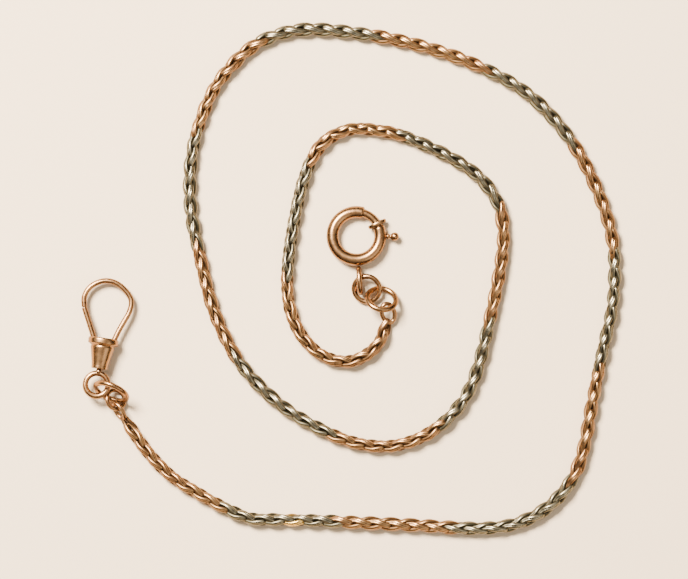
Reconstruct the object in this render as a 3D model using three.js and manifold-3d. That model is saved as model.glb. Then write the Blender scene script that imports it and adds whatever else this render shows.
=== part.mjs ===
// Two-colour pocket watch chain: a woven chain of alternating rose and white gold lengths,
// with a swivel dog clip at one end and a bolt (spring) ring at the other.
// Millimetres, +Z up. The chain lies on the plane z = 0 in an open spiral.
import * as THREE from 'three';
import Module from 'manifold-3d';
import { mergeVertices } from 'three/addons/utils/BufferGeometryUtils.js';

const wasm = await Module();
wasm.setup();

// ---------- driving dimensions ----------
const chainWidth = 2.1; // across the woven chain
const linkPitch = 1.469; // one link to the next along the chain
const clipEndRoom = 2.2; // of the route's start, taken by the end link
const boltEndRoom = 0.6; // of the route's end, taken by the other end link
const endGap = 0.3; // between neighbouring pieces that meet end to end
const linksPerLength = [15, 12, 12, 14, 12, 12, 12, 12, 12, 12, 12, 12, 12, 13, 12, 12, 12, 13, 11, 12, 19];

const boltRingOuter = 9.12; // bolt ring, outside diameter
const boltTube = 1.87; // its tube diameter
const boltWall = 0.22; // its tube wall
const boltRunning = 0.08; // radial clearance of the bolt in its tube
const boltTravel = 50; // degrees the bolt slides back
const mouthStart = 23; // degrees: the mouth where the bolt enters its tube
const mouthEnd = 73.5; // degrees: the socket that the bolt's tip closes into
const boltTilt = 3.5; // degrees: the ring leans up on its tail eye
const tailTurn = -86.3; // degrees: where the tail eye stands on the ring
const triggerTurn = -1; // degrees: where the trigger stands at rest
const knobBall = 1.3; // trigger ball diameter
const tailWire = 0.8;
const tailLong = 4.4;
const tailTall = 3.0;

const clipWire = 0.84; // wire of the dog clip's hook and gate
const flangeWide = 4.6; // barrel's flange
const barrelTop = 3.55;
const barrelFoot = 2.5;
const barrelLong = 4.7;
const flangeThick = 1.1;
const barrelFlat = 0.8; // the barrel is a little oval: height over width
const chamberTop = 2.4; // hollow inside the barrel, at the cap
const chamberFoot = 1.4; // and at the foot
const stemWire = 0.7; // swivel stem
const stemRunning = 0.08;
const stemHead = 1.1; // rivet head on the stem
const eyeWide = 4.4; // swivel eye, outside
const eyeWire = 0.95;
const eyeGap = 0.23; // between the eye and the barrel's foot
const clipLean = 81.5; // degrees: heading of the clip's long axis
const clipDip = 4; // degrees: the hook's end dips towards the table
const pinThick = 0.32; // gate hinge pin

const middle = [0.387, 0.536]; // of the whole footprint, brought to the origin
const tailSpot = [1.579, 0.277]; // centre of the bolt ring's tail eye
const eyeSpot = [-38.212, -15.475]; // centre of the swivel eye

// ---------- the chain's route on the table, from the clip end to the bolt ring end ----------
const route = [
  [-34.8, -19.2], [-32.6, -22.9], [-29.9, -26.5], [-26.7, -29.6], [-22.9, -32.0], [-19.1, -34.1],
  [-15.0, -35.8], [-10.6, -36.0], [-6.2, -36.1], [2.6, -36.5], [11.5, -36.9], [16.0, -37.2], [20.3, -37.3],
  [24.9, -36.7], [28.8, -35.0], [32.1, -32.2], [34.5, -28.5], [35.8, -24.3], [36.6, -19.9], [38.3, -11.3],
  [40.1, -2.6], [40.0, 6.2], [37.4, 14.6], [33.1, 22.3], [27.0, 28.7], [19.3, 33.0], [11.0, 35.9],
  [2.3, 37.7], [-6.5, 38.4], [-10.9, 37.6], [-14.8, 35.7], [-18.0, 32.7], [-20.6, 29.2], [-23.6, 20.9],
  [-24.1, 12.1], [-22.5, 3.4], [-20.2, -5.1], [-16.1, -12.8], [-9.8, -19.0], [-2.1, -23.3], [2.2, -24.6],
  [6.5, -24.8], [10.7, -23.6], [14.4, -21.2], [17.3, -17.9], [19.2, -14.0], [21.4, -5.4], [23.1, 3.3],
  [23.4, 7.7], [22.6, 12.0], [20.1, 15.6], [16.6, 18.3], [8.6, 22.1], [4.3, 23.1], [0.0, 23.2],
  [-3.9, 21.2], [-6.2, 17.5], [-8.4, 9.0], [-9.4, 0.2], [-8.9, -4.2], [-7.1, -8.2], [-3.8, -11.2],
  [0.5, -11.9], [4.2, -9.6], [5.6, -6.6],
];

const model = new THREE.Group();
model.position.set(-middle[0], -middle[1], 0);
const roseGold = 0xc88b5f;
const whiteGold = 0xa39b82;
const steel = 0x8e8c88;
const degrees = THREE.MathUtils.degToRad;

function add(name, geometry, colour, parent = model) {
  const material = new THREE.MeshStandardMaterial({ color: colour, roughness: 0.25, metalness: 1 });
  const mesh = new THREE.Mesh(geometry, material);
  mesh.name = name;
  parent.add(mesh);
  return mesh;
}

// ---------- shapes ----------
function polygon(radius, sides, turn = 0) {
  const points = [];
  for (let i = 0; i < sides; i += 1) {
    const angle = turn + (2 * Math.PI * i) / sides;
    points.push(new THREE.Vector2(radius * Math.cos(angle), radius * Math.sin(angle)));
  }
  return new THREE.Shape(points);
}

function sweep(shape, points, steps) {
  const path = new THREE.CatmullRomCurve3(points);
  path.arcLengthDivisions = 400;
  return new THREE.ExtrudeGeometry(shape, { steps, bevelEnabled: false, extrudePath: path });
}

function toSolid(geometry) {
  const bare = geometry.clone();
  bare.deleteAttribute('normal');
  bare.deleteAttribute('uv');
  const merged = mergeVertices(bare, 1e-4);
  const mesh = { numProp: 3, vertProperties: merged.attributes.position.array, triVerts: merged.index.array };
  return new wasm.Manifold(new wasm.Mesh(mesh));
}

function toGeometry(solid) {
  const mesh = solid.getMesh();
  const geometry = new THREE.BufferGeometry();
  geometry.setAttribute('position', new THREE.BufferAttribute(mesh.vertProperties, 3));
  geometry.setIndex(new THREE.BufferAttribute(mesh.triVerts, 1));
  return geometry;
}

function join(...geometries) {
  return toGeometry(geometries.map(toSolid).reduce((a, b) => a.add(b)));
}

function cut(geometry, ...tools) {
  return toGeometry(tools.map(toSolid).reduce((a, b) => a.subtract(b), toSolid(geometry)));
}

// ---------- woven chain ----------
const chainHeight = chainWidth / 2;
const chainCurve = new THREE.CatmullRomCurve3(route.map(([x, y]) => new THREE.Vector3(x, y, chainHeight)));
chainCurve.arcLengthDivisions = 3000;
const chainLong = chainCurve.getLength();

function stretch(from, to, steps) {
  const points = [];
  for (let i = 0; i <= steps; i += 1) {
    points.push(chainCurve.getPointAt((from + ((to - from) * i) / steps) / chainLong));
  }
  return points;
}

// One colour length: an eight-sided body with round ends that roll past the neighbour's.
function chainLength(from, to) {
  const start = from + endGap / 2 + chainHeight;
  const end = to - endGap / 2 - chainHeight;
  const steps = Math.max(5, Math.round((end - start) / 2.4));
  const points = stretch(start, end, steps);
  const body = sweep(polygon(chainHeight / Math.cos(Math.PI / 8), 8, Math.PI / 8), points, steps);
  const ends = [points[0], points[steps]].map((point) => {
    const ball = new THREE.SphereGeometry(chainHeight, 8, 6);
    ball.rotateX(Math.PI / 2);
    ball.translate(point.x, point.y, point.z);
    return ball;
  });
  return join(body, ...ends);
}

let linksSoFar = 0;
linksPerLength.forEach((links, index) => {
  const rose = index % 2 === 0;
  const from = Math.max(linksSoFar * linkPitch, clipEndRoom);
  linksSoFar += links;
  const to = Math.min(linksSoFar * linkPitch, chainLong - boltEndRoom);
  const number = String(index + 1).padStart(2, '0');
  const name = `chain_${number}_${rose ? 'rose' : 'white'}_gold`;
  add(name, chainLength(from, to), rose ? roseGold : whiteGold);
});

// ---------- bolt ring ----------
const ringMid = (boltRingOuter - boltTube) / 2;
const boltBore = boltTube / 2 - boltWall;
const boltRod = boltBore - boltRunning;
const tailGap = 0.06;
const tailReach = boltRingOuter / 2 + tailGap + tailLong / 2;
const tailFlat = tailReach * Math.cos(degrees(boltTilt));
const ringFrame = new THREE.Group();
ringFrame.position.set(
  tailSpot[0] - tailFlat * Math.cos(degrees(tailTurn)),
  tailSpot[1] - tailFlat * Math.sin(degrees(tailTurn)),
  boltTube / 2 + ringMid * Math.sin(degrees(boltTilt)),
);
ringFrame.rotation.order = 'ZYX';
ringFrame.rotation.set(0, degrees(-boltTilt), degrees(tailTurn));
model.add(ringFrame);

// An arc about the ring's centre, in degrees of the ring as it lies on the table.
function ringArc(fromTurn, toTurn, radius = ringMid, step = 10) {
  const count = Math.max(2, Math.ceil(Math.abs(toTurn - fromTurn) / step));
  const points = [];
  for (let i = 0; i <= count; i += 1) {
    const angle = degrees(fromTurn + ((toTurn - fromTurn) * i) / count - tailTurn);
    points.push(new THREE.Vector3(radius * Math.cos(angle), radius * Math.sin(angle), 0));
  }
  return { points, count };
}

function arcSweep(shape, fromTurn, toTurn, radius, step) {
  const { points, count } = ringArc(fromTurn, toTurn, radius, step);
  return sweep(shape, points, count * 2);
}

// The hollow tube runs from the socket, round the back, to the mouth, and is slotted for the trigger.
const slotWide = 0.62;
const tubeSection = polygon(boltTube / 2, 10);
tubeSection.holes.push(new THREE.Path(polygon(boltBore, 10).getPoints()));
const slotSection = new THREE.Shape([
  new THREE.Vector2(-slotWide / 2, -1),
  new THREE.Vector2(slotWide / 2, -1),
  new THREE.Vector2(slotWide / 2, 1),
  new THREE.Vector2(-slotWide / 2, 1),
]);
const slotSpare = 8;
const boltTube3d = arcSweep(tubeSection, mouthEnd, mouthStart + 360, ringMid, 20);
const slot = arcSweep(
  slotSection, triggerTurn + slotSpare, triggerTurn - boltTravel - slotSpare, ringMid + boltTube / 2 + 0.3, 20,
);
add('bolt_ring_tube', cut(boltTube3d, slot), roseGold, ringFrame);

// The mouth collar: an oval plate with a hole for the bolt, a hair off the tube's end.
const collarThick = 0.55;
const collarSeat = 0.16;
function ringPlace(geometry, turn, radius = ringMid) {
  const angle = degrees(turn - tailTurn);
  geometry.rotateZ(angle);
  geometry.translate(radius * Math.cos(angle), radius * Math.sin(angle), 0);
  return geometry;
}
const collarShape = new THREE.Shape();
collarShape.absellipse(0, 0, 1.45, boltTube / 2, 0, 2 * Math.PI);
collarShape.holes.push(new THREE.Path(polygon(boltBore, 10).getPoints()));
const collarPlate = new THREE.ExtrudeGeometry(collarShape, {
  depth: collarThick, bevelEnabled: false, curveSegments: 8,
});
collarPlate.rotateX(-Math.PI / 2);
const collarTurn = mouthStart + THREE.MathUtils.radToDeg(collarSeat / ringMid);
add('bolt_ring_collar', ringPlace(collarPlate, collarTurn), roseGold, ringFrame);

// The bolt: a curved rod inside the tube whose tip crosses the mouth into the socket.
const boltTip = mouthEnd + 5;
const boltTail = -14;
add('bolt', arcSweep(polygon(boltRod, 10), boltTip, boltTail, ringMid, 12), roseGold, ringFrame);

// The trigger: a stem through the slot, with a ball that the thumbnail pulls.
const stemLong = 0.95;
const triggerStem = new THREE.CylinderGeometry(0.22, 0.26, stemLong, 8);
triggerStem.rotateZ(-Math.PI / 2);
triggerStem.translate(boltRod + 0.05 + stemLong / 2, 0, 0);
const knob = new THREE.SphereGeometry(knobBall / 2, 10, 8);
knob.translate(boltRod + 0.05 + stemLong + knobBall / 2 - 0.12, 0, 0);
add('bolt_trigger', ringPlace(join(triggerStem, knob), triggerTurn), roseGold, ringFrame);

// The return spring that pushes the bolt shut, drawn as its core inside the tube.
const springEnd = -100;
const springGap = 3;
add('bolt_spring', arcSweep(polygon(0.5, 8), boltTail - springGap, springEnd, ringMid, 14), steel, ringFrame);

// An oval ring of round wire, lying in its own XY plane with its long way along X.
function ovalRing(long, tall, wire, around = 20) {
  const geometry = new THREE.TorusGeometry(2, 1, 8, around);
  const position = geometry.attributes.position;
  for (let i = 0; i < position.count; i += 1) {
    const angle = Math.atan2(position.getY(i), position.getX(i));
    const reach = ((Math.hypot(position.getX(i), position.getY(i)) - 2) * wire) / 2;
    const x = ((long - wire) / 2 + reach) * Math.cos(angle);
    const y = ((tall - wire) / 2 + reach) * Math.sin(angle);
    position.setXYZ(i, x, y, (position.getZ(i) * wire) / 2);
  }
  return geometry;
}

// The tail eye stands on edge on the ring's back and carries the first jump ring.
const tailEye = ovalRing(tailLong, tailTall, tailWire);
tailEye.rotateX(Math.PI / 2);
tailEye.translate(tailReach, 0, 0);
add('bolt_ring_tail_eye', tailEye, roseGold, ringFrame);

// ---------- jump rings ----------
// Each ring: centre, outside length and width, wire, heading it leans up towards, steepness, roll.
function wireRing(name, ring) {
  const mesh = add(name, ovalRing(ring.long, ring.wide ?? ring.long, ring.wire), roseGold);
  mesh.position.set(...ring.centre);
  mesh.rotation.order = 'ZYX';
  mesh.rotation.set(degrees(ring.roll ?? 0), degrees(-ring.steep), degrees(ring.heading));
}

wireRing('jump_ring_round', { centre: [2.70, -0.99, 1.20], long: 4.72, wire: 0.76, heading: 61, steep: 15.9 });
wireRing('swivel_jump_ring_large', {
  centre: [-36.02, -16.56, 2.85], long: 5.9, wire: 0.8, heading: 68.2, steep: 64.7,
});
wireRing('swivel_jump_ring_small', {
  centre: [-35.4, -17.74, 1.21], long: 3.66, wire: 0.66, heading: 201.8, steep: 34.9,
});
wireRing('jump_ring_oval', { centre: [4.94, -2.51, 1.96], long: 5.22, wire: 0.84, heading: -101.7, steep: 44 });

// ---------- chain end links ----------
// The last link at each end is a wider loop that its jump ring passes through.
wireRing('end_link_bolt_side', {
  centre: [5.93, -4.64, 1.49], long: 3.78, wide: 2.64, wire: 0.68, heading: 108.7, steep: 21.2, roll: 12.3,
});
wireRing('end_link_clip_side', {
  centre: [-34.89, -19.52, 1.36], long: 3.3, wide: 2.3, wire: 0.6, heading: 122.5, steep: 3.7, roll: -52.4,
});

// ---------- swivel dog clip ----------
const clipFrame = new THREE.Group();
const barrelAxis = (flangeWide * barrelFlat) / 2;
const eyeReach = (barrelLong + eyeGap + eyeWide / 2) * Math.cos(degrees(clipDip));
clipFrame.position.set(
  eyeSpot[0] + eyeReach * Math.cos(degrees(clipLean)),
  eyeSpot[1] + eyeReach * Math.sin(degrees(clipLean)),
  barrelAxis,
);
clipFrame.rotation.order = 'ZYX';
clipFrame.rotation.set(0, degrees(clipDip), degrees(clipLean));
model.add(clipFrame);

// Inside clipFrame the axis is X: the hook at +X, the barrel from x = 0 back to -barrelLong,
// and +Y is the gate's side. The wide flange is a little flatter than it is wide.
function flatten(geometry) {
  const position = geometry.attributes.position;
  for (let i = 0; i < position.count; i += 1) {
    const reach = Math.hypot(position.getY(i), position.getZ(i));
    const share = THREE.MathUtils.smoothstep(reach, stemHead / 2, flangeWide / 2);
    position.setZ(i, position.getZ(i) * (1 - (1 - barrelFlat) * share));
  }
  return geometry;
}

function turned(profile) {
  const geometry = new THREE.LatheGeometry(profile.map(([x, r]) => new THREE.Vector2(r, x)), 16);
  geometry.rotateZ(-Math.PI / 2);
  return flatten(geometry);
}

const capWide = flangeWide - 0.7;
const capThick = 0.65;
const capGap = 0.05;
const footWall = 0.6;
const footBore = stemWire / 2 + stemRunning;
const foot = -barrelLong;
add('swivel_barrel', turned([
  [0, capWide / 2 + capGap], [0, flangeWide / 2 - 0.2], [-0.25, flangeWide / 2],
  [-flangeThick + 0.25, flangeWide / 2], [-flangeThick, barrelTop / 2 + 0.1], [-flangeThick - 0.15, barrelTop / 2],
  [-flangeThick - 0.5, barrelTop / 2], [foot + 0.6, barrelFoot / 2], [foot, barrelFoot / 2],
  [foot, footBore], [foot + footWall, footBore], [foot + footWall, chamberFoot / 2],
  [-capThick - 0.45, chamberTop / 2], [-capThick - capGap, chamberTop / 2],
  [-capThick - capGap, capWide / 2 + capGap], [0, capWide / 2 + capGap],
].reverse()), roseGold, clipFrame);

// The cap closes the barrel's mouth. It carries the hook and, in a notch, the gate's hinge pin.
const gateRoot = new THREE.Vector2(-0.32, 1.42);
const knuckle = 0.74;
const notchSpare = 0.1;
const notchFrom = gateRoot.y - knuckle / 2 - notchSpare - 0.16;
const notchTall = clipWire + 2 * notchSpare;
function block(from, to) {
  const geometry = new THREE.BoxGeometry(to[0] - from[0], to[1] - from[1], to[2] - from[2]);
  geometry.translate((to[0] + from[0]) / 2, (to[1] + from[1]) / 2, (to[2] + from[2]) / 2);
  return geometry;
}
function post(radius, tall, sides = 10) {
  const geometry = new THREE.CylinderGeometry(radius, radius, tall, sides);
  geometry.rotateX(Math.PI / 2);
  geometry.translate(gateRoot.x, gateRoot.y, 0);
  return geometry;
}
const capDisc = turned([[-capThick, 0], [-capThick, capWide / 2], [-capGap, capWide / 2], [-capGap, 0]]);
const notch = block([-capThick - 1, notchFrom, -notchTall / 2], [1, flangeWide, notchTall / 2]);
const pinLong = notchTall + 0.5;
add('swivel_cap', cut(capDisc, notch, post(pinThick / 2 + 0.03, pinLong + 0.1)), roseGold, clipFrame);
add('gate_pin', post(pinThick / 2, pinLong), roseGold, clipFrame);

// The hook: a pear-shaped bow of round wire from the cap round to the gate's tip.
const wireSection = polygon(clipWire / 2, 10);
const hookPoints = [
  [0.04, -1.62], [1.4, -2.05], [2.84, -2.6], [4.65, -3.25], [6.32, -3.22], [7.75, -2.0], [8.62, -0.3],
  [8.55, 1.5], [7.34, 3.25], [5.75, 3.88], [4.3, 3.65],
].map(([x, y]) => new THREE.Vector3(x, y, 0));
add('clip_hook', sweep(wireSection, hookPoints, 26), roseGold, clipFrame);

// The gate: a straight leg on the hinge pin that meets the hook's end and swings inwards.
const gateGap = 0.12;
const gateTip = new THREE.Vector3(4.22 - gateGap, 3.6, 0);
const gateFoot = new THREE.Vector3(gateRoot.x, gateRoot.y, 0);
const gateLeg = sweep(wireSection, [gateFoot, gateFoot.clone().lerp(gateTip, 0.5), gateTip], 3);
const gateEye = post(knuckle / 2, clipWire);
add('clip_gate', cut(join(gateLeg, gateEye), post(pinThick / 2 + 0.05, 2)), roseGold, clipFrame);

// The leaf spring inside the cap's notch that pushes the gate shut.
const leafThick = 0.09;
add('gate_spring', block(
  [-capThick + 0.02, notchFrom + 0.04, -0.3], [0.35, notchFrom + 0.04 + leafThick, 0.3],
), steel, clipFrame);

// The eye turns in the barrel's foot on its stem, held inside by a rivet head.
const eyeFrame = new THREE.Group();
clipFrame.add(eyeFrame);
const eye = ovalRing(eyeWide, eyeWide, eyeWire);
eye.translate(foot - eyeGap - eyeWide / 2, 0, 0);
const stemFrom = foot - eyeGap - eyeWire / 2;
const stemTo = foot + footWall + 0.2;
const stem = new THREE.CylinderGeometry(stemWire / 2, stemWire / 2, stemTo - stemFrom, 10);
stem.rotateZ(Math.PI / 2);
stem.translate((stemFrom + stemTo) / 2, 0, 0);
add('swivel_eye', join(eye, stem), roseGold, eyeFrame);
const rivet = new THREE.CylinderGeometry(stemHead / 2, stemHead / 2, 0.4, 10);
rivet.rotateZ(Math.PI / 2);
rivet.translate(stemTo + 0.03 + 0.2, 0, 0);
add('swivel_rivet_head', rivet, roseGold, eyeFrame);

export default model;
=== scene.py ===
from math import acos, cos, hypot, pi, radians, sin, sqrt

import bpy
from mathutils import Matrix, Vector


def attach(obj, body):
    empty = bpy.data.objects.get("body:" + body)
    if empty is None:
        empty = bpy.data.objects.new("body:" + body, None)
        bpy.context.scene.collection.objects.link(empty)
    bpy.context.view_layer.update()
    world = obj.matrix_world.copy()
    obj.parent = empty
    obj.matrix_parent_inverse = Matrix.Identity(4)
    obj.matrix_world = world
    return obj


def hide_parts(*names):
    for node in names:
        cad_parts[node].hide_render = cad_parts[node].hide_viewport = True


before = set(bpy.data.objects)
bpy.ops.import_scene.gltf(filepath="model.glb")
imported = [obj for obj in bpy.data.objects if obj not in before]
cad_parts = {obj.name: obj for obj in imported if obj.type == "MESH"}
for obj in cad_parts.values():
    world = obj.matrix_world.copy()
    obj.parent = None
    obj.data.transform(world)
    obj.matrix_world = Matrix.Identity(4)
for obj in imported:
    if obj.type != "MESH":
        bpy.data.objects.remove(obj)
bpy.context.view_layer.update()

mm = 0.001
layShift = Vector((-0.387, -0.536, 0))  # the middle of the footprint is the origin


# Shapes are in millimetres until makePiece turns them into metres.
def makePiece(name, verts, faces, finish, place=None, floats=None):
    place = place or Matrix.Identity(4)
    mesh = bpy.data.meshes.new(name)
    mesh.from_pydata([(place @ Vector(v)) * mm for v in verts], [], faces)
    mesh.validate()
    mesh.shade_smooth()
    mesh.update()
    if sum(f.area * f.normal.dot(f.center) for f in mesh.polygons) < 0:  # faces point outwards
        mesh.flip_normals()
    if not floats:  # painted shade with some tarnish: darker on the flanks and underneath, the more a spot faces away from straight up
        floats = {"shadeAndTarnish": [min(0.8, max(0, (0.66 - v.normal.z) / 0.75)) for v in mesh.vertices]}
    for key, values in floats.items():
        layer = mesh.attributes.new(key, "FLOAT", "POINT")
        layer.data.foreach_set("value", values)
    mesh.materials.append(finish)
    piece = bpy.data.objects.new(name, mesh)
    bpy.context.scene.collection.objects.link(piece)
    return piece


def belongs(piece, body, slot, *nodes):
    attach(piece, body)
    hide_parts(*nodes)


def ringFaces(rings, sides, closed, start=0):
    faces = []
    for i in range(rings if closed else rings - 1):
        a = start + i * sides
        b = start + ((i + 1) % rings) * sides
        for k in range(sides):
            n = (k + 1) % sides
            faces.append((a + k, a + n, b + n, b + k))
    return faces


# Round wire along points that lie in one plane. An open wire gets softly rounded ends.
def flatWire(points, radius, sides=20, closed=False, up=Vector((0, 0, 1)), endRound=0.35):
    points = [Vector(p) for p in points]
    count = len(points)
    rows = []
    for i, p in enumerate(points):
        before = points[i - 1] if (i or closed) else p
        after = points[(i + 1) % count] if (i + 1 < count or closed) else p
        rows.append((p, (after - before).normalized(), radius))
    if not closed:
        soft = radius * endRound
        first, last = rows[0], rows[-1]
        lead, tail = [], []
        for step in (0.05, 0.35, 0.65, 0.88):
            wide = radius - soft + soft * sqrt(max(0, 1 - (1 - step) ** 2))
            lead.append((first[0] - first[1] * soft * (1 - step), first[1], wide))
            tail.append((last[0] + last[1] * soft * (1 - step), last[1], wide))
        rows = lead + rows + tail[::-1]
    verts = []
    for p, along, wide in rows:
        side = along.cross(up).normalized()
        for k in range(sides):
            a = 2 * pi * k / sides
            verts.append(p + (side * cos(a) + up * sin(a)) * wide)
    faces = ringFaces(len(rows), sides, closed)
    if not closed:
        faces.append(tuple(range(sides))[::-1])
        faces.append(tuple(range((len(rows) - 1) * sides, len(rows) * sides)))
    return verts, [f[::-1] for f in faces]


def ovalPath(long, tall, count=64):
    return [Vector((long / 2 * cos(2 * pi * i / count), tall / 2 * sin(2 * pi * i / count), 0))
            for i in range(count)]


# A smooth curve through points that keeps even speed at uneven gaps.
def smoothThrough(points, perGap=40):
    pts = [Vector(p) for p in points]
    pts = [pts[0] * 2 - pts[1]] + pts + [pts[-1] * 2 - pts[-2]]
    out = []
    for i in range(1, len(pts) - 2):
        p0, p1, p2, p3 = pts[i - 1:i + 3]
        d0, d1, d2 = [max(1e-6, (b - a).length_squared ** 0.25) for a, b in ((p0, p1), (p1, p2), (p2, p3))]
        m1 = ((p1 - p0) / d0 - (p2 - p0) / (d0 + d1) + (p2 - p1) / d1) * d1
        m2 = ((p2 - p1) / d1 - (p3 - p1) / (d1 + d2) + (p3 - p2) / d2) * d1
        for k in range(perGap):
            t = k / perGap
            out.append(p1 * (2 * t ** 3 - 3 * t ** 2 + 1) + m1 * (t ** 3 - 2 * t ** 2 + t)
                       + p2 * (3 * t ** 2 - 2 * t ** 3) + m2 * (t ** 3 - t ** 2))
    out.append(pts[-2])
    return out


# Each finish has a random tone and random tarnish blotches. Its dark colour, at its set amount, is painted
# shade with some tarnish in the recesses, on the flanks and underneath; the rest stays bright metal.
roseGoldLook = {
    "metal": (0.34, 0.168, 0.072), "warm": (0.41, 0.228, 0.095), "shadeAndTarnishColour": (0.085, 0.042, 0.017),
    "smooth": 0.25, "dull": 0.33, "shadeAndTarnishAmount": 0.93,
}
whiteGoldLook = {
    "metal": (0.205, 0.172, 0.112), "warm": (0.26, 0.22, 0.14), "shadeAndTarnishColour": (0.045, 0.036, 0.019),
    "smooth": 0.24, "dull": 0.32, "shadeAndTarnishAmount": 0.94,
}
yellowGoldLook = {
    "metal": (0.74, 0.45, 0.12), "warm": (0.80, 0.52, 0.16), "shadeAndTarnishColour": (0.12, 0.06, 0.015),
    "smooth": 0.18, "dull": 0.33, "shadeAndTarnishAmount": 0.7,
}
springSteelLook = {
    "metal": (0.42, 0.41, 0.39), "warm": (0.46, 0.44, 0.40), "shadeAndTarnishColour": (0.08, 0.07, 0.06),
    "smooth": 0.25, "dull": 0.42, "shadeAndTarnishAmount": 0.6,
}


def goldFinish(name, look):
    finish = bpy.data.materials.new(name)
    finish.use_nodes = True
    nodes, links = finish.node_tree.nodes, finish.node_tree.links
    shader = nodes["Principled BSDF"]
    shader.inputs["Metallic"].default_value = 1.0
    where = nodes.new("ShaderNodeTexCoord").outputs["Object"]

    def noise(scale, detail=3.0):
        node = nodes.new("ShaderNodeTexNoise")
        node.inputs["Scale"].default_value = scale
        node.inputs["Detail"].default_value = detail
        links.new(where, node.inputs["Vector"])
        return node.outputs["Fac"]

    def spread(value, low, high, toLow, toHigh):
        node = nodes.new("ShaderNodeMapRange")
        for key, number in zip(("From Min", "From Max", "To Min", "To Max"), (low, high, toLow, toHigh)):
            node.inputs[key].default_value = number
        links.new(value, node.inputs["Value"])
        return node.outputs["Result"]

    def blendColours(amount, first, second):
        node = nodes.new("ShaderNodeMix")
        node.data_type = "RGBA"
        links.new(amount, node.inputs["Factor"])
        for socket, colour in ((node.inputs[6], first), (node.inputs[7], second)):
            if isinstance(colour, tuple):
                socket.default_value = (*colour, 1)
            else:
                links.new(colour, socket)
        return node.outputs[2]

    def math(operation, a, b):
        node = nodes.new("ShaderNodeMath")
        node.operation = operation
        node.use_clamp = True
        for socket, value in zip(node.inputs, (a, b)):
            if isinstance(value, (int, float)):
                socket.default_value = value
            else:
                links.new(value, socket)
        return node.outputs[0]

    shadeAndTarnish = nodes.new("ShaderNodeAttribute")  # painted shade with some tarnish, 0 to 1: deep between the links, on the flanks and underneath
    shadeAndTarnish.attribute_name = "shadeAndTarnish"
    tint = nodes.new("ShaderNodeAttribute")  # each link's own shade, 0 to 1
    tint.attribute_name = "linkTint"
    cloudy = noise(420, 4)
    blotch = noise(1900, 5)
    warmth = math("ADD", math("MULTIPLY", tint.outputs["Fac"], 0.6), spread(cloudy, 0.4, 0.65, 0, 0.5))
    metal = blendColours(warmth, look["metal"], look["warm"])
    # painted shade with some tarnish from the attribute, plus random tarnish blotches, pulls the metal towards
    # the dark colour
    grimeAndShade = math("ADD", math("MULTIPLY", shadeAndTarnish.outputs["Fac"], look["shadeAndTarnishAmount"]),
                 spread(blotch, 0.62, 0.85, 0, 0.25))
    links.new(blendColours(grimeAndShade, metal, look["shadeAndTarnishColour"]), shader.inputs["Base Color"])
    worn = math("ADD", spread(blotch, 0.35, 0.7, look["smooth"], look["dull"]), math("MULTIPLY", grimeAndShade, 0.25))
    links.new(worn, shader.inputs["Roughness"])
    fine = nodes.new("ShaderNodeBump")  # handling marks
    fine.inputs["Strength"].default_value = 0.025
    fine.inputs["Distance"].default_value = 0.00004
    links.new(noise(3600, 2), fine.inputs["Height"])
    links.new(fine.outputs["Normal"], shader.inputs["Normal"])
    return finish


roseGold = goldFinish("roseGold", roseGoldLook)
whiteGold = goldFinish("whiteGold", whiteGoldLook)
yellowGold = goldFinish("yellowGold", yellowGoldLook)
springSteel = goldFinish("springSteel", springSteelLook)
print("finishes ready")


# The route that the chain lies along, from the dog clip's end to the bolt ring's end.
route = [
    (-34.8, -19.2), (-32.6, -22.9), (-29.9, -26.5), (-26.7, -29.6), (-22.9, -32.0), (-19.1, -34.1),
    (-15.0, -35.8), (-10.6, -36.0), (-6.2, -36.1), (2.6, -36.5), (11.5, -36.9), (16.0, -37.2), (20.3, -37.3),
    (24.9, -36.7), (28.8, -35.0), (32.1, -32.2), (34.5, -28.5), (35.8, -24.3), (36.6, -19.9), (38.3, -11.3),
    (40.1, -2.6), (40.0, 6.2), (37.4, 14.6), (33.1, 22.3), (27.0, 28.7), (19.3, 33.0), (11.0, 35.9),
    (2.3, 37.7), (-6.5, 38.4), (-10.9, 37.6), (-14.8, 35.7), (-18.0, 32.7), (-20.6, 29.2), (-23.6, 20.9),
    (-24.1, 12.1), (-22.5, 3.4), (-20.2, -5.1), (-16.1, -12.8), (-9.8, -19.0), (-2.1, -23.3), (2.2, -24.6),
    (6.5, -24.8), (10.7, -23.6), (14.4, -21.2), (17.3, -17.9), (19.2, -14.0), (21.4, -5.4), (23.1, 3.3),
    (23.4, 7.7), (22.6, 12.0), (20.1, 15.6), (16.6, 18.3), (8.6, 22.1), (4.3, 23.1), (0.0, 23.2),
    (-3.9, 21.2), (-6.2, 17.5), (-8.4, 9.0), (-9.4, 0.2), (-8.9, -4.2), (-7.1, -8.2), (-3.8, -11.2),
    (0.5, -11.9), (4.2, -9.6), (5.6, -6.6),
]
chainSizes = {
    "linkPitch": 1.469,
    "linksPerLength": [15, 12, 12, 14, 12, 12, 12, 12, 12, 12, 12, 12, 12, 13, 12, 12, 12, 13, 11, 12, 19],
    "missingAtClip": 2,  # places at each end that the end links take
    "missingAtBolt": 1,
    "axisHeight": 1.05,
    "linkLong": 4.1,  # from the fold to the ends of its two loops
    "linkBehind": 2.6,  # how far the fold lies behind the link's place
    "foldDeep": 0.9,
    "foldHalf": 0.36,
    "loopOut": 0.70,  # from the chain's axis to a loop's wire at its fullest
    "loopTuck": 0.12,  # how far the free end dips back in
    "foldWide": 0.12,
    "loopWide": 0.14,
    "foldWire": 0.22,
    "loopWire": 0.36,
    "endWire": 0.29,
    "lean": 30,  # degrees a loop slants round the chain, one way on even links, the other on odd
    "rollSway": 4,  # degrees each link may sit off true
    "strangeLink": 22,  # a yellow gold one
    "seed": 7,
}
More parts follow.
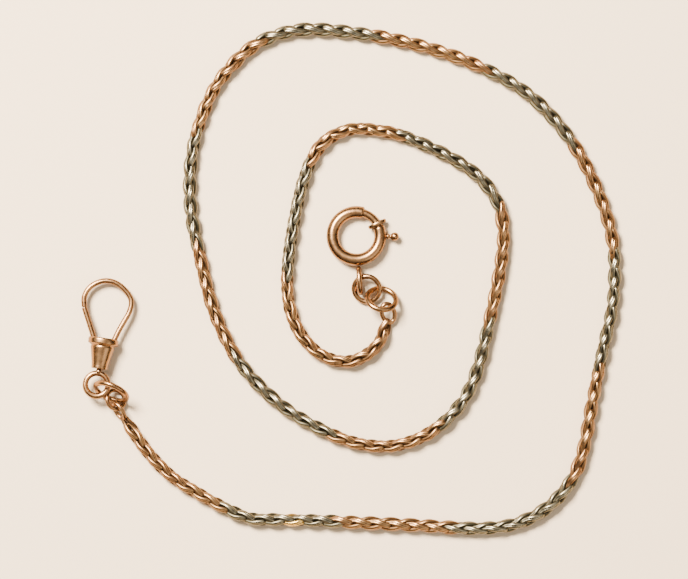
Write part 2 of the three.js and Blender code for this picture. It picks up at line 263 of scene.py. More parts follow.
# How far the woven chain has turned about its own axis, in degrees, by link number.
chainTwist = [
    (0, 45), (24, 48), (32, 86), (38, 112), (44, 128), (50, 120), (56, 84), (61, 50), (70, 45), (78, 82),
    (100, 92), (126, 80), (131, 50), (137, 50), (142, 84), (148, 118), (158, 128), (164, 96), (172, 52),
    (185, 46), (191, 84), (199, 108), (205, 124), (211, 94), (218, 52), (265, 42),
]


def twistAt(number):
    for (a, x), (b, y) in zip(chainTwist, chainTwist[1:]):
        if a <= number <= b:
            return x + (y - x) * (number - a) / (b - a)
    return chainTwist[-1][1]


chainPath = smoothThrough([(x, y, chainSizes["axisHeight"]) for x, y in route])
pathMarks = [0.0]
for here, there in zip(chainPath, chainPath[1:]):
    pathMarks.append(pathMarks[-1] + (there - here).length)


def along(distance):
    low, high = 0, len(pathMarks) - 2
    while low < high:
        middle = (low + high + 1) // 2
        if pathMarks[middle] <= distance:
            low = middle
        else:
            high = middle - 1
    share = (distance - pathMarks[low]) / (pathMarks[low + 1] - pathMarks[low])
    return chainPath[low].lerp(chainPath[low + 1], share) + layShift


# One link: a wire loop folded in half, so that it has two round loops side by side at its free end.
def linkShape(sizes, lean, sides=10):
    half = []
    long, deep = sizes["linkLong"], sizes["foldDeep"]
    for turn in (0, 25, 50, 72, 90):
        angle = radians(turn)
        half.append((deep * (1 - cos(angle)), sizes["foldWide"], sizes["foldHalf"] * sin(angle)))
    straight = long - sizes["loopWide"] - deep
    for share in (0.12, 0.24, 0.36, 0.48, 0.6, 0.72, 0.84, 0.93, 1.0):
        rise = min(1, share / 0.55)
        rise = rise * rise * (3 - 2 * rise)
        dip = max(0, (share - 0.6) / 0.4) ** 2
        half.append((
            deep + straight * share, sizes["foldWide"] + (sizes["loopWide"] - sizes["foldWide"]) * rise,
            sizes["foldHalf"] + (sizes["loopOut"] - sizes["foldHalf"]) * rise - sizes["loopTuck"] * dip,
        ))
    bend = []
    for turn in (22, 45, 68, 90):
        bend.append((
            long - sizes["loopWide"] * (1 - sin(radians(turn))), sizes["loopWide"] * cos(radians(turn)),
            sizes["loopOut"] - sizes["loopTuck"] * (1 + 0.3 * sin(radians(turn))),
        ))
    top = half + bend
    upper = top + [(x, -y, z) for x, y, z in top[-2::-1]]
    lower = [(x, -y, -z) for x, y, z in upper[1:-1]]
    path = [Vector((x - sizes["linkBehind"], y, z)) for x, y, z in upper + lower]
    verts, shadeAndTarnish = [], []
    count = len(path)
    for i, p in enumerate(path):
        heading = (path[(i + 1) % count] - path[i - 1]).normalized()
        out = Vector((0, p.y, p.z))
        out = (out - heading * out.dot(heading)).normalized()
        across = heading.cross(out)
        share = (p.x + sizes["linkBehind"]) / long
        full = min(1, share / 0.6)
        full = full * full * (3 - 2 * full)
        wire = sizes["foldWire"] + (sizes["loopWire"] - sizes["foldWire"]) * full
        wire -= (sizes["loopWire"] - sizes["endWire"]) * max(0, (share - 0.72) / 0.28) ** 2
        for k in range(sides):
            turn = 2 * pi * k / sides
            reach = out * cos(turn) + across * sin(turn)
            v = p + reach * wire
            # painted shade with some tarnish: darker deep inside the chain between the links, and on each
            # wire's flanks that face away from the outside
            innerShade = min(1, max(0, (0.90 - hypot(v.y, v.z)) / 0.36))
            outward = reach.dot(Vector((0, p.y * 0.3, p.z)).normalized()) if abs(p.z) > 0.05 else 0
            flankShade = min(1, max(0, (0.82 - outward) / 0.6))
            shadeAndTarnish.append(max(innerShade, flankShade))
            verts.append(Matrix.Rotation(radians(lean) * max(-1, min(1, v.x / 1.4)), 3, "X") @ v)
    return verts, [f[::-1] for f in ringFaces(count, sides, True)], shadeAndTarnish


linkModels = []
for name, lean in (("evenLink", -chainSizes["lean"]), ("oddLink", chainSizes["lean"])):
    linkVerts, linkFaces, linkShadeAndTarnish = linkShape(chainSizes, lean)
    linkModels.append(makePiece(name, linkVerts, linkFaces, roseGold, floats={"shadeAndTarnish": linkShadeAndTarnish}))


# Repeats the two links by turns along a curve, each a quarter turn on from the last.
def weavingTree():
    tree = bpy.data.node_groups.new("chainWeaving", "GeometryNodeTree")
    sockets = [
        ("Geometry", "NodeSocketGeometry"), ("Links", "NodeSocketInt"), ("First link", "NodeSocketInt"),
        ("Even link shape", "NodeSocketObject"), ("Odd link shape", "NodeSocketObject"),
        ("First turn", "NodeSocketFloat"), ("Turn per link", "NodeSocketFloat"), ("Sway", "NodeSocketFloat"),
        ("Seed", "NodeSocketInt"), ("Finish", "NodeSocketMaterial"), ("Strange link", "NodeSocketInt"),
        ("Strange finish", "NodeSocketMaterial"),
    ]
    for name, kind in sockets:
        tree.interface.new_socket(name=name, in_out="INPUT", socket_type=kind)
    tree.interface.new_socket(name="Geometry", in_out="OUTPUT", socket_type="NodeSocketGeometry")
    nodes, links = tree.nodes, tree.links
    given = nodes.new("NodeGroupInput").outputs
    result = nodes.new("NodeGroupOutput")

    def math(operation, a, b):
        node = nodes.new("ShaderNodeMath")
        node.operation = operation
        for socket, value in zip(node.inputs, (a, b)):
            if isinstance(value, (int, float)):
                socket.default_value = value
            else:
                links.new(value, socket)
        return node.outputs[0]

    def random(low, high, seed):
        node = nodes.new("FunctionNodeRandomValue")
        node.data_type = "FLOAT"
        node.inputs[2].default_value = low
        node.inputs[3].default_value = high
        links.new(math("ADD", given["Seed"], seed), node.inputs["Seed"])
        return node.outputs[1]

    spaced = nodes.new("GeometryNodeResampleCurve")
    spaced.mode = "COUNT"
    links.new(given["Geometry"], spaced.inputs["Curve"])
    links.new(given["Links"], spaced.inputs["Count"])
    places = nodes.new("GeometryNodeCurveToPoints")
    places.mode = "EVALUATED"
    links.new(spaced.outputs["Curve"], places.inputs["Curve"])
    facing = nodes.new("FunctionNodeAlignRotationToVector")
    facing.axis = "X"
    facing.pivot_axis = "Z"
    links.new(places.outputs["Tangent"], facing.inputs["Vector"])
    number = nodes.new("GeometryNodeInputIndex").outputs[0]
    sway = math("MULTIPLY", random(-1.0, 1.0, 3), given["Sway"])
    roll = math("ADD", math("ADD", given["First turn"], math("MULTIPLY", number, given["Turn per link"])), sway)
    rolled = nodes.new("FunctionNodeAxisAngleToRotation")
    rolled.inputs["Axis"].default_value = (1, 0, 0)
    links.new(roll, rolled.inputs["Angle"])
    turned = nodes.new("FunctionNodeRotateRotation")
    turned.rotation_space = "LOCAL"
    links.new(facing.outputs[0], turned.inputs[0])
    links.new(rolled.outputs[0], turned.inputs[1])
    linkNumber = math("ADD", number, given["First link"])
    flow = places.outputs["Points"]
    for label, value in (("linkTint", random(0.0, 1.0, 23)), ("linkNumber", linkNumber)):
        keep = nodes.new("GeometryNodeStoreNamedAttribute")
        keep.data_type = "FLOAT"
        keep.domain = "POINT"
        keep.inputs["Name"].default_value = label
        links.new(flow, keep.inputs["Geometry"])
        links.new(value, keep.inputs["Value"])
        flow = keep.outputs["Geometry"]
    both = nodes.new("GeometryNodeJoinGeometry")
    size = random(0.97, 1.03, 11)
    isOdd = math("MODULO", linkNumber, 2.0)
    for label, chosen in (("Even link shape", math("SUBTRACT", 1.0, isOdd)), ("Odd link shape", isOdd)):
        shape = nodes.new("GeometryNodeObjectInfo")
        shape.transform_space = "ORIGINAL"
        links.new(given[label], shape.inputs["Object"])
        placed = nodes.new("GeometryNodeInstanceOnPoints")
        links.new(flow, placed.inputs["Points"])
        links.new(chosen, placed.inputs["Selection"])
        links.new(shape.outputs["Geometry"], placed.inputs["Instance"])
        links.new(turned.outputs[0], placed.inputs["Rotation"])
        links.new(size, placed.inputs["Scale"])
        links.new(placed.outputs["Instances"], both.inputs[0])
    real = nodes.new("GeometryNodeRealizeInstances")
    links.new(both.outputs[0], real.inputs["Geometry"])
    # painted shade on the undersides: darker the more the surface faces down
    lie = nodes.new("ShaderNodeSeparateXYZ")
    links.new(nodes.new("GeometryNodeInputNormal").outputs[0], lie.inputs[0])
    undersideShade = math("MINIMUM", math("DIVIDE", math("SUBTRACT", 0.62, lie.outputs["Z"]), 0.8), 0.85)
    made = nodes.new("GeometryNodeInputNamedAttribute")
    made.data_type = "FLOAT"
    made.inputs["Name"].default_value = "shadeAndTarnish"
    grimeAndShade = nodes.new("GeometryNodeStoreNamedAttribute")  # painted shade with some tarnish, between the links and beneath them
    grimeAndShade.data_type = "FLOAT"
    grimeAndShade.domain = "POINT"
    grimeAndShade.inputs["Name"].default_value = "shadeAndTarnish"
    links.new(real.outputs["Geometry"], grimeAndShade.inputs["Geometry"])
    links.new(math("MAXIMUM", made.outputs["Attribute"], undersideShade), grimeAndShade.inputs["Value"])
    plain = nodes.new("GeometryNodeSetMaterial")
    links.new(grimeAndShade.outputs["Geometry"], plain.inputs["Geometry"])
    links.new(given["Finish"], plain.inputs["Material"])
    which = nodes.new("GeometryNodeInputNamedAttribute")
    which.data_type = "FLOAT"
    which.inputs["Name"].default_value = "linkNumber"
    same = math("COMPARE", which.outputs["Attribute"], given["Strange link"])
    same.node.inputs[2].default_value = 0.3
    odd = nodes.new("GeometryNodeSetMaterial")
    links.new(plain.outputs["Geometry"], odd.inputs["Geometry"])
    links.new(same, odd.inputs["Selection"])
    links.new(given["Strange finish"], odd.inputs["Material"])
    links.new(odd.outputs["Geometry"], result.inputs["Geometry"])
    return tree


weaving = weavingTree()
weavingInputs = {s.name: s.identifier for s in weaving.interface.items_tree if s.in_out == "INPUT"}


def weaveLength(name, finish, firstLink, lastLink):
    pitch = chainSizes["linkPitch"]
    start, end = (firstLink + 0.5) * pitch, (lastLink + 0.5) * pitch
    end = min(end, pathMarks[-1] - 0.001)
    count = lastLink - firstLink + 1
    line = bpy.data.curves.new(name + "Line", "CURVE")
    line.dimensions = "3D"
    spline = line.splines.new("POLY")
    steps = count * 6
    spline.points.add(steps)
    for i in range(steps + 1):
        spline.points[i].co = (*(along(start + (end - start) * i / steps) * mm), 1)
    maker = bpy.data.objects.new(name + "Line", line)
    bpy.context.scene.collection.objects.link(maker)
    modifier = maker.modifiers.new("weave", "NODES")
    modifier.node_group = weaving
    first, last = twistAt(firstLink), twistAt(lastLink)
    perLink = 90 + (last - first) / max(1, count - 1)
    values = {
        "Links": count, "First link": firstLink,
        "Even link shape": linkModels[0], "Odd link shape": linkModels[1],
        "First turn": radians(first + 90 * (firstLink % 4)),
        "Turn per link": radians(perLink), "Sway": radians(chainSizes["rollSway"]),
        "Seed": chainSizes["seed"] + firstLink, "Finish": finish,
        "Strange link": chainSizes["strangeLink"], "Strange finish": yellowGold,
    }
    for key, value in values.items():
        modifier[weavingInputs[key]] = value
    bpy.context.view_layer.update()
    made = bpy.data.meshes.new_from_object(maker.evaluated_get(bpy.context.evaluated_depsgraph_get()))
    made.name = name
    made.shade_smooth()
    maker.modifiers.remove(modifier)
    bpy.data.objects.remove(maker)
    bpy.data.curves.remove(line)
    piece = bpy.data.objects.new(name, made)
    bpy.context.scene.collection.objects.link(piece)
    return piece


linkCount = 0
lengths = chainSizes["linksPerLength"]
for place, links in enumerate(lengths):
    firstLink, lastLink = linkCount, linkCount + links - 1
    linkCount += links
    if place == 0:
        firstLink += chainSizes["missingAtClip"]
    if place == len(lengths) - 1:
        lastLink -= chainSizes["missingAtBolt"]
    colour = "rose" if place % 2 == 0 else "white"
    finish = roseGold if colour == "rose" else whiteGold
    number = f"{place + 1:02d}"
    piece = weaveLength(f"{colour}Length{number}", finish, firstLink, lastLink)
    belongs(piece, f"chain_{number}", f"{colour}_gold", f"chain_{number}_{colour}_gold")
for model in linkModels:
    bpy.data.objects.remove(model)
print("chain woven:", linkCount, "links in", len(lengths), "lengths")


# The jump rings and the chain's end links, by node: name, body, centre, outside length and width, wire,
# heading that the ring leans up towards, steepness and roll.
ringSizes = {
    "jump_ring_round": ("roundJumpRing", "jump_ring_round",
                        (2.70, -0.99, 1.20), 4.72, 4.72, 0.76, 61, 15.9, 0),
    "jump_ring_oval": ("ovalJumpRing", "jump_ring_oval",
                       (4.94, -2.51, 1.96), 5.22, 5.22, 0.84, -101.7, 44, 0),
    "swivel_jump_ring_large": ("largeClipRing", "large_ring",
                               (-36.02, -16.56, 2.85), 5.9, 5.9, 0.8, 68.2, 64.7, 0),
    "swivel_jump_ring_small": ("smallClipRing", "small_ring",
                               (-35.4, -17.74, 1.21), 3.66, 3.66, 0.66, 201.8, 34.9, 0),
    "end_link_bolt_side": ("boltEndLink", "chain_21",
                           (5.93, -4.64, 1.49), 3.78, 2.64, 0.68, 108.7, 21.2, 12.3),
    "end_link_clip_side": ("clipEndLink", "chain_01",
                           (-34.89, -19.52, 1.36), 3.3, 2.3, 0.6, 122.5, 3.7, -52.4),
}


def leaning(centre, heading, steep, roll):
    turn = Matrix.Rotation(radians(heading), 4, "Z") @ Matrix.Rotation(radians(-steep), 4, "Y")
    turn = turn @ Matrix.Rotation(radians(roll), 4, "X")
    return Matrix.Translation(Vector(centre) + layShift) @ turn


for node, (name, body, centre, long, wide, wire, heading, steep, roll) in ringSizes.items():
    verts, faces = flatWire(ovalPath(long - wire, wide - wire), wire / 2, 20, True)
    ring = makePiece(name, verts, faces, roseGold, leaning(centre, heading, steep, roll))
    belongs(ring, body, "rose_gold", node)
print("rings placed")


# The bolt ring. Angles go round it in degrees, and the tail eye stands at tailTurn.
boltSizes = {
    "outer": 9.12, "tube": 1.87, "wall": 0.22, "running": 0.08, "tilt": 3.5,
    "mouthStart": 23, "mouthEnd": 73.5, "tailTurn": -86.3, "triggerTurn": -1, "travel": 50,
    "slotSpare": 8, "slotHalf": 0.31, "boltTip": 78.5, "boltTail": -14,
    "collarThick": 0.55, "collarSeat": 0.16, "collarLong": 2.9, "knob": 1.3, "stem": 0.95,
    "tailWire": 0.8, "tailLong": 4.4, "tailTall": 3.0, "tailGap": 0.06, "middle": (1.14, 7.07),
}
ringMid = (boltSizes["outer"] - boltSizes["tube"]) / 2
tubeHalf = boltSizes["tube"] / 2
boltHalf = tubeHalf - boltSizes["wall"] - boltSizes["running"]
ringLift = tubeHalf + ringMid * sin(radians(boltSizes["tilt"]))
ringPlace = Matrix.Translation(Vector((*boltSizes["middle"], ringLift)) + layShift)
ringPlace = ringPlace @ Matrix.Rotation(radians(boltSizes["tailTurn"]), 4, "Z")
ringPlace = ringPlace @ Matrix.Rotation(radians(-boltSizes["tilt"]), 4, "Y")


def ringPoint(turn, out=0.0, up=0.0):
    angle = radians(turn - boltSizes["tailTurn"])
    return Vector(((ringMid + out) * cos(angle), (ringMid + out) * sin(angle), up))


def boltTube(sides=32, step=2.5):
    first, last = boltSizes["mouthEnd"], boltSizes["mouthStart"] + 360
    slotFrom = boltSizes["triggerTurn"] - boltSizes["travel"] - boltSizes["slotSpare"] + 360
    slotTo = boltSizes["triggerTurn"] + boltSizes["slotSpare"] + 360
    between = {first + step * i for i in range(1, int((last - first) / step))}
    marks = sorted({first, last, slotFrom, slotTo} | between)
    marks = [m for i, m in enumerate(marks) if i == 0 or m - marks[i - 1] > 0.3]
    slotTurn = 2 * acos(cos(boltSizes["slotHalf"] / tubeHalf))
    arounds = [slotTurn / 2 + (2 * pi - slotTurn) * k / (sides - 2) for k in range(sides - 1)] + [0.0]
    verts, faces = [], []
    inner = tubeHalf - boltSizes["wall"]
    soft = 0.12
    skins = []
    for radius, ends in ((tubeHalf, soft), (inner, 0)):
        skins.append(len(verts))
        for i, mark in enumerate(marks):
            wide = radius - (ends if i in (0, len(marks) - 1) else 0)
            for a in arounds:
                verts.append(ringPoint(mark, wide * cos(a), wide * sin(a)))
    rows = len(marks)

    def inSlot(i, k):
        return slotFrom - 0.2 <= marks[i] and marks[i + 1] <= slotTo + 0.2 and k in (sides - 2, sides - 1)

    for skin, flip in ((skins[0], False), (skins[1], True)):
        for i in range(rows - 1):
            for k in range(sides):
                if inSlot(i, k):
                    continue
                n = (k + 1) % sides
                a, b = skin + i * sides, skin + (i + 1) * sides
                face = (a + k, b + k, b + n, a + n)
                faces.append(face[::-1] if flip else face)
    for i, flip in ((0, False), (rows - 1, True)):  # ring faces at the two ends
        for k in range(sides):
            n = (k + 1) % sides
            a, b = skins[0] + i * sides, skins[1] + i * sides
            face = (a + k, a + n, b + n, b + k)
            faces.append(face[::-1] if flip else face)
    for i in range(rows - 1):  # walls of the trigger slot
        if inSlot(i, sides - 1):
            for k, flip in ((0, False), (sides - 2, True)):
                a, b = skins[0] + i * sides + k, skins[0] + (i + 1) * sides + k
                c, d = skins[1] + (i + 1) * sides + k, skins[1] + i * sides + k
                faces.append((a, b, c, d)[::-1] if flip else (a, b, c, d))
            for edge, flip in ((i, True), (i + 1, False)):
                near = (edge == i and not (i and inSlot(i - 1, sides - 1)))
                far = (edge == i + 1 and not (i + 2 < rows and inSlot(i + 1, sides - 1)))
                if near or far:
                    ks = (sides - 2, sides - 1, 0)
                    for a, b in zip(ks, ks[1:]):
                        o, n = skins[0] + edge * sides, skins[1] + edge * sides
                        face = (o + a, o + b, n + b, n + a)
                        faces.append(face if flip else face[::-1])
    return verts, faces


verts, faces = boltTube()
tube = makePiece("boltRingTube", verts, faces, roseGold, ringPlace)
belongs(tube, "bolt_ring", "rose_gold", "bolt_ring_tube")


def arcWire(first, last, radius, sides=24):
    count = max(6, int(abs(last - first) / 2))
    return flatWire([ringPoint(first + (last - first) * i / count) for i in range(count + 1)], radius, sides)


verts, faces = arcWire(boltSizes["boltTip"], boltSizes["boltTail"], boltHalf)
bolt = makePiece("slidingBolt", verts, faces, roseGold, ringPlace)
belongs(bolt, "bolt", "rose_gold", "bolt")

# The mouth collar: an oval band round the bolt with softened edges.
def collarBand(sides=40):
    thick, rim = boltSizes["collarThick"], 0.1
    hole = tubeHalf - boltSizes["wall"]
    profile = [(0, hole, 0), (0, 0, -rim), (rim * 0.4, 0, -rim * 0.3), (rim, 0, 0), (thick - rim, 0, 0),
               (thick - rim * 0.4, 0, -rim * 0.3), (thick, 0, -rim), (thick, hole, 0)]
    verts = []
    for forward, inner, back in profile:
        for k in range(sides):
            a = 2 * pi * k / sides
            x, z = ((inner, inner) if inner else (boltSizes["collarLong"] / 2 + back, tubeHalf + back))
            verts.append((x * cos(a), forward, z * sin(a)))
    count = len(profile)
    faces = ringFaces(count, sides, True)
    turn = radians(boltSizes["mouthStart"] - boltSizes["tailTurn"]) + boltSizes["collarSeat"] / ringMid
    place = Matrix.Rotation(turn, 4, "Z") @ Matrix.Translation((ringMid, 0, 0))
    return [place @ Vector(v) for v in verts], faces


verts, faces = collarBand()
collar = makePiece("mouthCollar", verts, faces, roseGold, ringPlace)
belongs(collar, "bolt_ring", "rose_gold", "bolt_ring_collar")


def lathe(profile, sides=40):
    verts = []
    for x, r in profile:
        for k in range(sides):
            a = 2 * pi * k / sides
            verts.append(Vector((x, max(r, 0.002) * cos(a), max(r, 0.002) * sin(a))))
    faces = ringFaces(len(profile), sides, False)
    faces.append(tuple(range(sides))[::-1])
    faces.append(tuple(range((len(profile) - 1) * sides, len(profile) * sides)))
    return verts, faces


stemEnd = boltHalf + 0.05 + boltSizes["stem"]
ball = boltSizes["knob"] / 2
knobProfile = [(boltHalf + 0.02, 0.26), (tubeHalf + 0.02, 0.26), (tubeHalf + 0.06, 0.40),
               (tubeHalf + 0.2, 0.42), (tubeHalf + 0.42, 0.34), (stemEnd - 0.2, 0.28)]
for turn in range(148, -1, -8):
    knobProfile.append((stemEnd - 0.12 + ball + ball * cos(radians(turn)), ball * sin(radians(turn))))
verts, faces = lathe(knobProfile, 28)
turn = Matrix.Rotation(radians(boltSizes["triggerTurn"] - boltSizes["tailTurn"]), 4, "Z")
verts = [turn @ (v + Vector((ringMid, 0, 0))) for v in verts]
trigger = makePiece("triggerKnob", verts, faces, roseGold, ringPlace)
belongs(trigger, "bolt", "rose_gold", "bolt_trigger")

tailWire = boltSizes["tailWire"]
verts, faces = flatWire(ovalPath(boltSizes["tailLong"] - tailWire, boltSizes["tailTall"] - tailWire),
                        tailWire / 2, 20, True)
reach = boltSizes["outer"] / 2 + boltSizes["tailGap"] + boltSizes["tailLong"] / 2
stand = Matrix.Translation((reach, 0, 0)) @ Matrix.Rotation(pi / 2, 4, "X")
tail = makePiece("tailEye", verts, faces, roseGold, ringPlace @ stand)
belongs(tail, "bolt_ring", "rose_gold", "bolt_ring_tail_eye")
print("bolt ring made")


# The swivel dog clip. Its long axis is x, from the barrel's top plane at 0 towards the bow.
clipSizes = {
    "wire": 0.84, "flangeWide": 4.6, "flangeThick": 1.1, "barrelTop": 3.55, "barrelFoot": 2.5,
    "barrelLong": 4.7, "flat": 0.8, "chamberTop": 2.4, "chamberFoot": 1.4, "stem": 0.7, "stemRunning": 0.08,
    "eyeWide": 4.4, "eyeWire": 0.95, "eyeGap": 0.23, "lean": 81.5, "dip": 4, "footWall": 0.6,
    "gateRoot": (-0.32, 1.42), "gateTip": (4.10, 3.6), "knuckle": 0.74, "barrelTopSpot": (-37.16, -8.44),
}
clipLift = clipSizes["flangeWide"] * clipSizes["flat"] / 2
clipPlace = Matrix.Translation(Vector((*clipSizes["barrelTopSpot"], clipLift)) + layShift)
clipPlace = clipPlace @ Matrix.Rotation(radians(clipSizes["lean"]), 4, "Z")
clipPlace = clipPlace @ Matrix.Rotation(radians(clipSizes["dip"]), 4, "Y")


def flatten(verts):
    out = []
    for v in verts:
        share = min(1, max(0, (hypot(v.y, v.z) - 0.55) / (clipSizes["flangeWide"] / 2 - 0.55)))
        share = share * share * (3 - 2 * share)
        out.append(Vector((v.x, v.y, v.z * (1 - (1 - clipSizes["flat"]) * share))))
    return out


def softCorners(profile, radius=0.12, steps=4):
    out = [profile[0]]
    for before, here, after in zip(profile, profile[1:], profile[2:]):
        p, a, b = Vector(here), Vector(before), Vector(after)
        ra = min(radius, (a - p).length / 2.2)
        rb = min(radius, (b - p).length / 2.2)
        start, end = p + (a - p).normalized() * ra, p + (b - p).normalized() * rb
        for i in range(steps + 1):
            t = i / steps
            q = start * (1 - t) ** 2 + p * 2 * t * (1 - t) + end * t * t
            out.append((q.x, q.y))
    return out + [profile[-1]]


def lathedRing(profile, sides=56):
    verts = []
    for x, r in profile:
        for k in range(sides):
            a = 2 * pi * k / sides
            verts.append(Vector((x, r * cos(a), r * sin(a))))
    return verts, ringFaces(len(profile), sides, True)


capHalf = (clipSizes["flangeWide"] - 0.7) / 2
wide = clipSizes["flangeWide"] / 2
thick = clipSizes["flangeThick"]
foot = -clipSizes["barrelLong"]
topHalf, footHalf = clipSizes["barrelTop"] / 2, clipSizes["barrelFoot"] / 2
bore = clipSizes["stem"] / 2 + clipSizes["stemRunning"]
outside = softCorners([
    (-0.7, capHalf + 0.05), (0, capHalf + 0.05), (0, wide - 0.16), (-0.2, wide), (-thick + 0.22, wide),
    (-thick, topHalf + 0.14), (-thick - 0.14, topHalf - 0.06), (-thick - 0.32, topHalf + 0.05),
    (-thick - 0.62, topHalf - 0.02), (foot + 1.3, footHalf + 0.14), (foot + 0.5, footHalf),
    (foot, footHalf - 0.02), (foot, bore),
], 0.1)
inside = [(foot + clipSizes["footWall"], bore), (foot + clipSizes["footWall"], clipSizes["chamberFoot"] / 2),
          (-1.1, clipSizes["chamberTop"] / 2), (-0.7, clipSizes["chamberTop"] / 2)]
verts, faces = lathedRing(outside + inside)
barrel = makePiece("clipBarrel", flatten(verts), faces, roseGold, clipPlace)
belongs(barrel, "clip", "rose_gold", "swivel_barrel")

# The cap's rim stands a little proud and has a notch where the gate turns.
notchFrom = clipSizes["gateRoot"][1] - clipSizes["knuckle"] / 2 - 0.26
notchHalf = clipSizes["wire"] / 2 + 0.1


def notchedCap(step=6):
    corner = sqrt(capHalf ** 2 - notchHalf ** 2)
    lip = acos(corner / capHalf)
    outline = [(notchFrom, notchHalf), (corner, notchHalf)]
    count = int(360 / step)
    for i in range(1, count):
        a = lip + (2 * pi - 2 * lip) * i / count
        outline.append((capHalf * cos(a), capHalf * sin(a)))
    outline += [(corner, -notchHalf), (notchFrom, -notchHalf)]
    verts = []
    for x, shrink in ((-0.65, 0.0), (-0.13, 0.0), (-0.07, 0.03), (-0.05, 0.09)):
        for y, z in outline:
            verts.append(Vector((x, y * (1 - shrink / capHalf), z * (1 - shrink / capHalf))))
    n = len(outline)
    faces = ringFaces(4, n, False)
    faces.append(tuple(range(n))[::-1])
    faces.append(tuple(range(3 * n, 4 * n)))
    return verts, faces


verts, faces = notchedCap()
cap = makePiece("clipCap", flatten(verts), faces, roseGold, clipPlace)
belongs(cap, "clip", "rose_gold", "swivel_cap")

hookLine = [
    (0.0, -1.62, 0), (1.4, -2.05, 0), (2.84, -2.6, 0), (4.65, -3.25, 0), (6.32, -3.22, 0), (7.75, -2.0, 0),
    (8.62, -0.3, 0), (8.55, 1.5, 0), (7.34, 3.25, 0), (5.75, 3.88, 0), (4.34, 3.66, 0),
]
verts, faces = flatWire(smoothThrough(hookLine, 10), clipSizes["wire"] / 2, 24, endRound=0.25)
hook = makePiece("clipHook", verts, faces, roseGold, clipPlace)
belongs(hook, "clip", "rose_gold", "clip_hook")

rootX, rootY = clipSizes["gateRoot"]
tipX, tipY = clipSizes["gateTip"]
legLine = [(rootX + (tipX - rootX) * i / 12, rootY + (tipY - rootY) * i / 12, 0) for i in range(13)]
verts, faces = flatWire(legLine, clipSizes["wire"] / 2, 24, endRound=0.3)
knuckle = clipSizes["knuckle"] / 2
eyeProfile = [(-clipSizes["wire"] / 2, knuckle - 0.06), (-clipSizes["wire"] / 2 + 0.06, knuckle),
              (clipSizes["wire"] / 2 - 0.06, knuckle), (clipSizes["wire"] / 2, knuckle - 0.06)]
eyeVerts, eyeFaces = lathe(eyeProfile, 24)
eyeVerts = [Vector((rootX - v.z, rootY + v.y, v.x)) for v in eyeVerts]
faces = faces + [tuple(i + len(verts) for i in f) for f in eyeFaces]
gate = makePiece("clipGate", verts + eyeVerts, faces, roseGold, clipPlace)
belongs(gate, "gate", "rose_gold", "clip_gate")

eyeWire = clipSizes["eyeWire"]
eyePath = ovalPath(clipSizes["eyeWide"] - eyeWire, clipSizes["eyeWide"] - eyeWire)
verts, faces = flatWire(eyePath, eyeWire / 2, 22, True)
eyeMiddle = foot - clipSizes["eyeGap"] - clipSizes["eyeWide"] / 2
swell = []
for v in verts:  # the eye's wire is heavier where the jump ring wears on it
    share = min(1, max(0, -v.x / (clipSizes["eyeWide"] / 2)))
    centre = Vector((v.x, v.y, 0)).normalized() * (clipSizes["eyeWide"] - eyeWire) / 2
    swell.append(centre + (v - centre) * (0.9 + 0.1 * share) + Vector((eyeMiddle, 0, 0)))
stemProfile = [(foot - clipSizes["eyeGap"] - eyeWire / 2, 0.5), (foot - clipSizes["eyeGap"] - 0.02, 0.42),
               (foot - clipSizes["eyeGap"] + 0.1, 0.35), (foot + clipSizes["footWall"] + 0.2, 0.35)]
stemVerts, stemFaces = lathe(stemProfile, 24)
faces = faces + [tuple(i + len(swell) for i in f) for f in stemFaces]
eye = makePiece("swivelEye", swell + stemVerts, faces, roseGold, clipPlace)
belongs(eye, "swivel", "rose_gold", "swivel_eye")
print("dog clip made")


# These pieces keep their made shape and only get their finish.
for node, finish in (("gate_pin", roseGold), ("swivel_rivet_head", roseGold), ("bolt_spring", springSteel),
                     ("gate_spring", springSteel)):
    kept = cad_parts[node]
    for slot in kept.material_slots:
        slot.material = finish


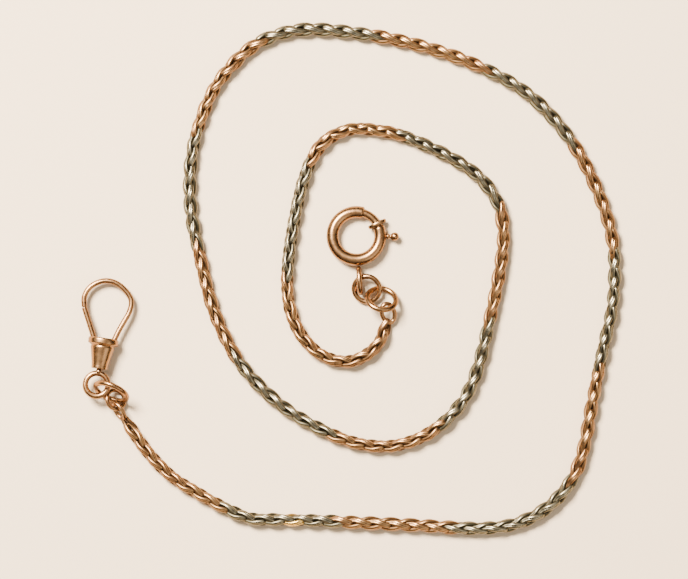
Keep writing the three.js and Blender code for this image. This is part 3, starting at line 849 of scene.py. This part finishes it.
# The table cloth, the lamps, the room and the camera.
studio = {
    "floorColour": (0.99, 0.76, 0.51), "keyPower": 21.5, "keySize": 0.20, "keyFrom": (-0.24, 0.28, 0.50),
    "fillPower": 1.2, "fillSize": 0.4, "fillFrom": (0.35, -0.25, 0.5), "lampColour": (1.0, 0.95, 0.87),
    "skyColour": (1.0, 0.97, 0.93), "sidesColour": (0.08, 0.063, 0.047), "skyStrength": 0.66,
    "lookAt": (-1.15, -1.60, 0.0), "frameWide": 104.6, "distance": 0.62, "floorHalf": 0.6,
}
floorMesh = bpy.data.meshes.new("tableCloth")
half = studio["floorHalf"]
floorCorners = [(-half, -half, 0), (half, -half, 0), (half, half, 0), (-half, half, 0)]
floorMesh.from_pydata(floorCorners, [], [(0, 1, 2, 3)])
floor = bpy.data.objects.new("tableCloth", floorMesh)
bpy.context.scene.collection.objects.link(floor)
cloth = bpy.data.materials.new("paleCloth")
cloth.use_nodes = True
shader = cloth.node_tree.nodes["Principled BSDF"]
shader.inputs["Base Color"].default_value = (*studio["floorColour"], 1)
shader.inputs["Roughness"].default_value = 0.95
shader.inputs["Specular IOR Level"].default_value = 0.1
floorMesh.materials.append(cloth)


def softLight(name, power, size, place):
    data = bpy.data.lights.new(name, "AREA")
    data.energy, data.size, data.color = power, size, studio["lampColour"]
    lamp = bpy.data.objects.new(name, data)
    lamp.location = place
    lamp.rotation_euler = (-Vector(place)).to_track_quat("-Z", "Y").to_euler()
    bpy.context.scene.collection.objects.link(lamp)


softLight("keyLight", studio["keyPower"], studio["keySize"], studio["keyFrom"])
softLight("fillLight", studio["fillPower"], studio["fillSize"], studio["fillFrom"])
world = bpy.data.worlds.new("softRoom")
world.use_nodes = True
worldNodes, worldLinks = world.node_tree.nodes, world.node_tree.links
backdrop = worldNodes["Background"]
backdrop.inputs[1].default_value = studio["skyStrength"]
height = worldNodes.new("ShaderNodeSeparateXYZ")
shade = worldNodes.new("ShaderNodeValToRGB")  # a light ceiling over darker walls
for stop, place, colour in zip(shade.color_ramp.elements, (0.50, 1.0), ("sidesColour", "skyColour")):
    stop.position, stop.color = place, (*studio[colour], 1)
worldLinks.new(worldNodes.new("ShaderNodeTexCoord").outputs["Generated"], height.inputs[0])
worldLinks.new(height.outputs["Z"], shade.inputs[0])
worldLinks.new(shade.outputs[0], backdrop.inputs[0])
bpy.context.scene.world = world

camera = bpy.data.cameras.new("camera")
camera.sensor_width = 36
camera.lens = 36 * studio["distance"] / (studio["frameWide"] * mm)
camera.clip_start, camera.clip_end = 0.01, 10
viewer = bpy.data.objects.new("camera", camera)
viewer.location = (studio["lookAt"][0] * mm, studio["lookAt"][1] * mm, studio["distance"])
bpy.context.scene.collection.objects.link(viewer)
bpy.context.scene.camera = viewer
print("studio set")
